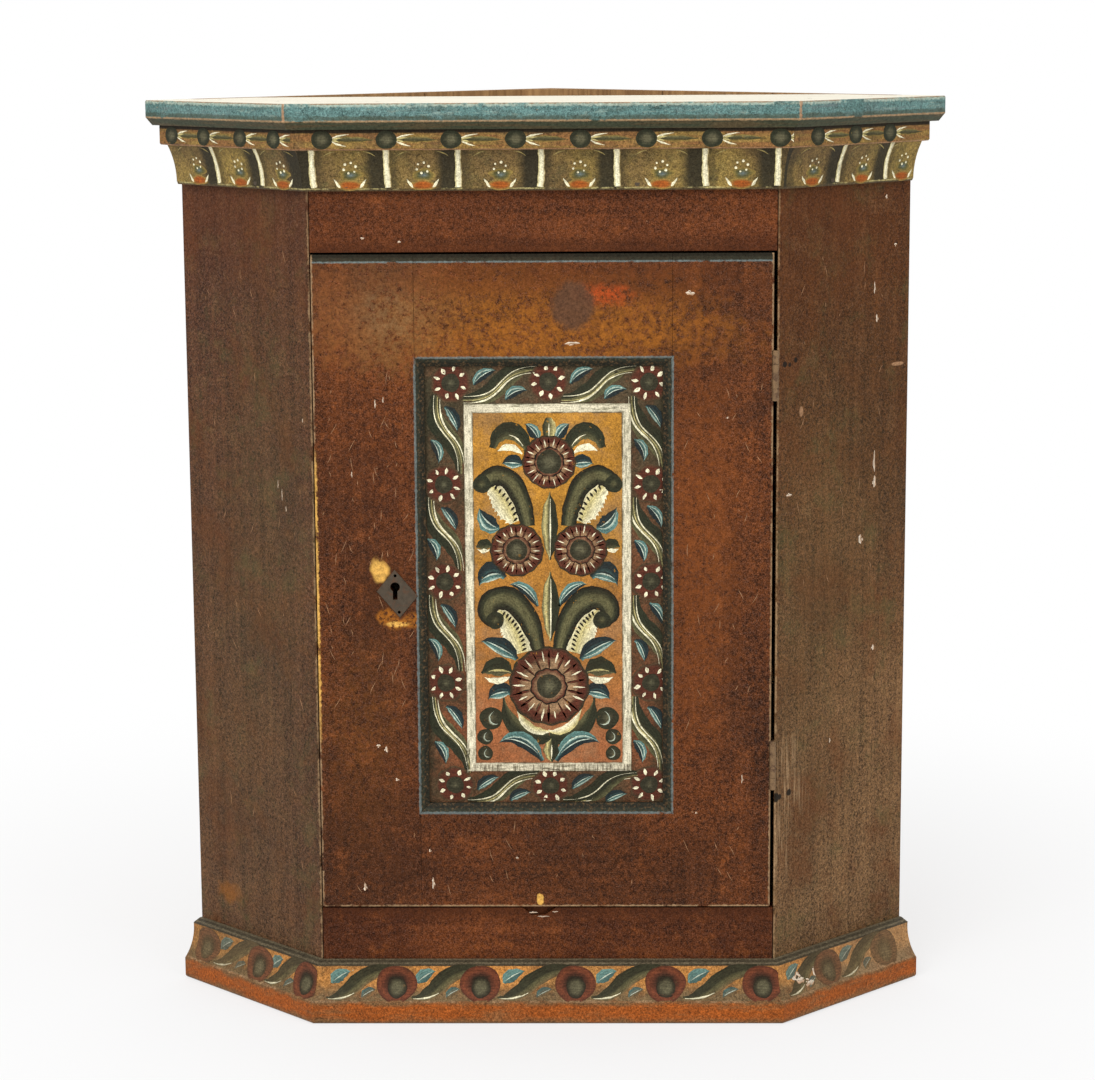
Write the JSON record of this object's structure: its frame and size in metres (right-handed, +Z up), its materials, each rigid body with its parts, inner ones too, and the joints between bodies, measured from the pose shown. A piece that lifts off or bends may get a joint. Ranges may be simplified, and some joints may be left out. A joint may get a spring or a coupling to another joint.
{
  "type": "corner cabinet",
  "caption": "Five-sided corner cupboard with canted sides, cornice, base moulding, shelves and one framed door with a raised panel, butt hinges and a key lock.",
  "frame": {"origin": "on the floor under the middle of the bounding box", "axes": "+Z up, the door faces -Y, +X to the right of someone who faces the door"},
  "size_m": [0.8018, 0.5554, 0.923],
  "materials": {
    "case_paint": "old oil paint on pine, mottled red-brown, satin, worn at the arrises",
    "door_paint": "old oil paint on pine, red-brown with golden wear, satin",
    "panel_paint": "flower-painted pine, ochre field in a cream line, dark border, satin",
    "top_paint": "blue painted edge, dark green under edge, bare pale upper face",
    "cornice_paint": "olive and rust oil paint with brushed ornament, satin",
    "base_paint": "orange-ochre oil paint with scrolls, blue-green upper edge, satin",
    "bare_pine": "planed pine, aged, unfinished",
    "forged_iron": "hand-forged iron, dark, dull",
    "hinge_steel": "worn steel with paint residue"
  },
  "bodies": {
    "case": {"back_board_left_inner": "bare_pine", "back_board_left_middle": "bare_pine", "back_board_left_outer": "bare_pine", "back_board_nails": "forged_iron", "back_board_right_inner": "bare_pine", "back_board_right_middle": "bare_pine", "back_board_right_outer": "bare_pine", "base_moulding_front": "base_paint", "base_moulding_left": "base_paint", "base_moulding_right": "base_paint", "base_nails": "forged_iron", "ceiling_board_front": "bare_pine", "ceiling_board_rear": "bare_pine", "cleat_nails": "forged_iron", "corner_post": "bare_pine", "cornice_front": "cornice_paint", "cornice_left": "cornice_paint", "cornice_nails": "forged_iron", "cornice_right": "cornice_paint", "floor_board_front": "bare_pine", "floor_board_rear": "bare_pine", "front_bottom_rail": "case_paint", "front_top_rail": "case_paint", "hinge_case_screws": "hinge_steel", "left_side_board": "case_paint", "lower_cleat_left": "bare_pine", "lower_cleat_right": "bare_pine", "lower_hinge_case_leaf": "hinge_steel", "lower_hinge_pin": "hinge_steel", "lower_shelf": "bare_pine", "right_side_board": "case_paint", "side_board_nails": "forged_iron", "top_board": "top_paint", "top_board_nails": "forged_iron", "upper_cleat_left": "bare_pine", "upper_cleat_right": "bare_pine", "upper_hinge_case_leaf": "hinge_steel", "upper_hinge_pin": "hinge_steel", "upper_shelf": "bare_pine"},
    "door": {"door_stile_left": "door_paint", "door_stile_right": "door_paint", "door_top_rail": "door_paint", "door_bottom_rail": "door_paint", "door_panel": "panel_paint", "door_pegs": "bare_pine", "escutcheon": "forged_iron", "escutcheon_pins": "forged_iron", "lock_case": "forged_iron", "lock_spring": "forged_iron", "lock_pins": "forged_iron", "lock_nails": "forged_iron", "upper_hinge_door_leaf": "hinge_steel", "lower_hinge_door_leaf": "hinge_steel", "hinge_door_screws": "hinge_steel"},
    "lock_bolt": {"lock_bolt": "forged_iron"}
  },
  "joints": [
    {"name": "door_hinge", "type": "hinge", "parent": "case", "child": "door", "pos_m": [0.2265, -0.23775, 0.447], "axis": [0, 0, 1], "range_deg": [0, 160]},
    {"name": "bolt_slide", "type": "slide", "parent": "door", "child": "lock_bolt", "axis": [-1, 0, 0], "range_m": [0, 0.012]}
  ]
}
